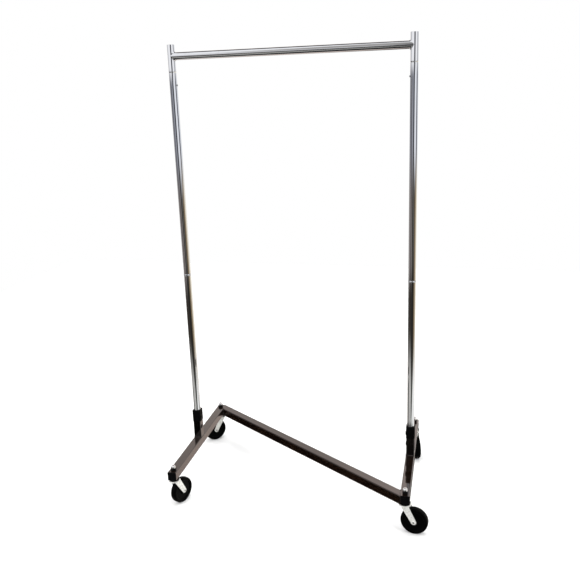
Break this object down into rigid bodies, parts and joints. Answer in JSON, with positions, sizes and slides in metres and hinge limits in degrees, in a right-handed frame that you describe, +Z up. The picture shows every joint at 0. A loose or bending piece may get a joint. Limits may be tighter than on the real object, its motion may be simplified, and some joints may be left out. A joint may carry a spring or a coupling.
{
  "type": "rolling clothes rack",
  "caption": "Rolling clothes rack: a chrome hang rail on two uprights over a Z-shaped square-tube base on swivel casters.",
  "frame": {"origin": "on the floor, under the middle of the rack's bounding box with the casters as they stand at rest", "axes": "+X along the hang rail to the right, +Y from front to back along the side bars, +Z up"},
  "size_m": [1.0606, 0.6194, 1.773],
  "materials": {
    "enamel": "gloss dark brown enamel",
    "chrome": "bright chrome plate",
    "zinc": "bright zinc plate",
    "spring_steel": "plain spring steel",
    "black_steel": "black oxide",
    "black_plastic": "moulded, semi-gloss",
    "rubber": "hard black rubber"
  },
  "bodies": {
    "frame": {"left_side_bar": "enamel", "right_side_bar": "enamel", "diagonal_bar": "enamel", "front_left_end_cap": "black_plastic", "back_left_end_cap": "black_plastic", "front_right_end_cap": "black_plastic", "back_right_end_cap": "black_plastic", "left_socket": "enamel", "right_socket": "enamel", "left_collar": "black_plastic", "right_collar": "black_plastic", "left_upper_clamp_screw": "black_steel", "left_lower_clamp_screw": "black_steel", "right_upper_clamp_screw": "black_steel", "right_lower_clamp_screw": "black_steel", "left_lower_upright": "chrome", "right_lower_upright": "chrome", "left_coupling": "chrome", "right_coupling": "chrome", "left_upper_upright": "chrome", "right_upper_upright": "chrome", "hang_rail": "chrome", "left_rail_stub": "chrome", "right_rail_stub": "chrome", "left_stub_insert": "chrome", "right_stub_insert": "chrome", "left_button_spring": "spring_steel", "right_button_spring": "spring_steel", "front_left_caster_stem": "zinc", "front_left_dome_nut": "chrome", "front_left_swivel_race": "black_steel", "back_left_caster_stem": "zinc", "back_left_dome_nut": "chrome", "back_left_swivel_race": "black_steel", "front_right_caster_stem": "zinc", "front_right_dome_nut": "chrome", "front_right_swivel_race": "black_steel", "back_right_caster_stem": "zinc", "back_right_dome_nut": "chrome", "back_right_swivel_race": "black_steel"},
    "left_button": {"left_snap_button": "spring_steel"},
    "right_button": {"right_snap_button": "spring_steel"},
    "front_left_swivel": {"front_left_fork": "zinc", "front_left_axle": "zinc", "front_left_wheel_bush": "zinc"},
    "back_left_swivel": {"back_left_fork": "zinc", "back_left_axle": "zinc", "back_left_wheel_bush": "zinc"},
    "front_right_swivel": {"front_right_fork": "zinc", "front_right_axle": "zinc", "front_right_wheel_bush": "zinc"},
    "back_right_swivel": {"back_right_fork": "zinc", "back_right_axle": "zinc", "back_right_wheel_bush": "zinc"},
    "front_left_roller": {"front_left_wheel": "rubber"},
    "back_left_roller": {"back_left_wheel": "rubber"},
    "front_right_roller": {"front_right_wheel": "rubber"},
    "back_right_roller": {"back_right_wheel": "rubber"}
  },
  "joints": [
    {"name": "left_button_press", "type": "slide", "parent": "frame", "child": "left_button", "axis": [-1, 0, 0], "range_m": [0, 0.0044], "stiffness_N_per_m": 1200, "springref_m": -0.002, "deforming": ["left_button_spring"]},
    {"name": "right_button_press", "type": "slide", "parent": "frame", "child": "right_button", "axis": [1, 0, 0], "range_m": [0, 0.0044], "stiffness_N_per_m": 1200, "springref_m": -0.002, "deforming": ["right_button_spring"]},
    {"name": "front_left_caster_swivel", "type": "hinge", "parent": "frame", "child": "front_left_swivel", "pos_m": [-0.46069, -0.28473, 0.11], "axis": [0, 0, 1], "continuous": true},
    {"name": "back_left_caster_swivel", "type": "hinge", "parent": "frame", "child": "back_left_swivel", "pos_m": [-0.46069, 0.28627, 0.11], "axis": [0, 0, 1], "continuous": true},
    {"name": "front_right_caster_swivel", "type": "hinge", "parent": "frame", "child": "front_right_swivel", "pos_m": [0.44431, -0.28473, 0.11], "axis": [0, 0, 1], "continuous": true},
    {"name": "back_right_caster_swivel", "type": "hinge", "parent": "frame", "child": "back_right_swivel", "pos_m": [0.44431, 0.28627, 0.11], "axis": [0, 0, 1], "continuous": true},
    {"name": "front_left_wheel_spin", "type": "hinge", "parent": "front_left_swivel", "child": "front_left_roller", "pos_m": [-0.44872, -0.25184, 0.0508], "axis": [-0.9397, 0.342, 0], "continuous": true},
    {"name": "back_left_wheel_spin", "type": "hinge", "parent": "back_left_swivel", "child": "back_left_roller", "pos_m": [-0.48629, 0.2624, 0.0508], "axis": [0.682, -0.7314, 0], "continuous": true},
    {"name": "front_right_wheel_spin", "type": "hinge", "parent": "front_right_swivel", "child": "front_right_roller", "pos_m": [0.47897, -0.2896, 0.0508], "axis": [0.1392, 0.9903, 0], "continuous": true},
    {"name": "back_right_wheel_spin", "type": "hinge", "parent": "back_right_swivel", "child": "back_right_roller", "pos_m": [0.45337, 0.25246, 0.0508], "axis": [0.9659, 0.2588, 0], "continuous": true}
  ]
}
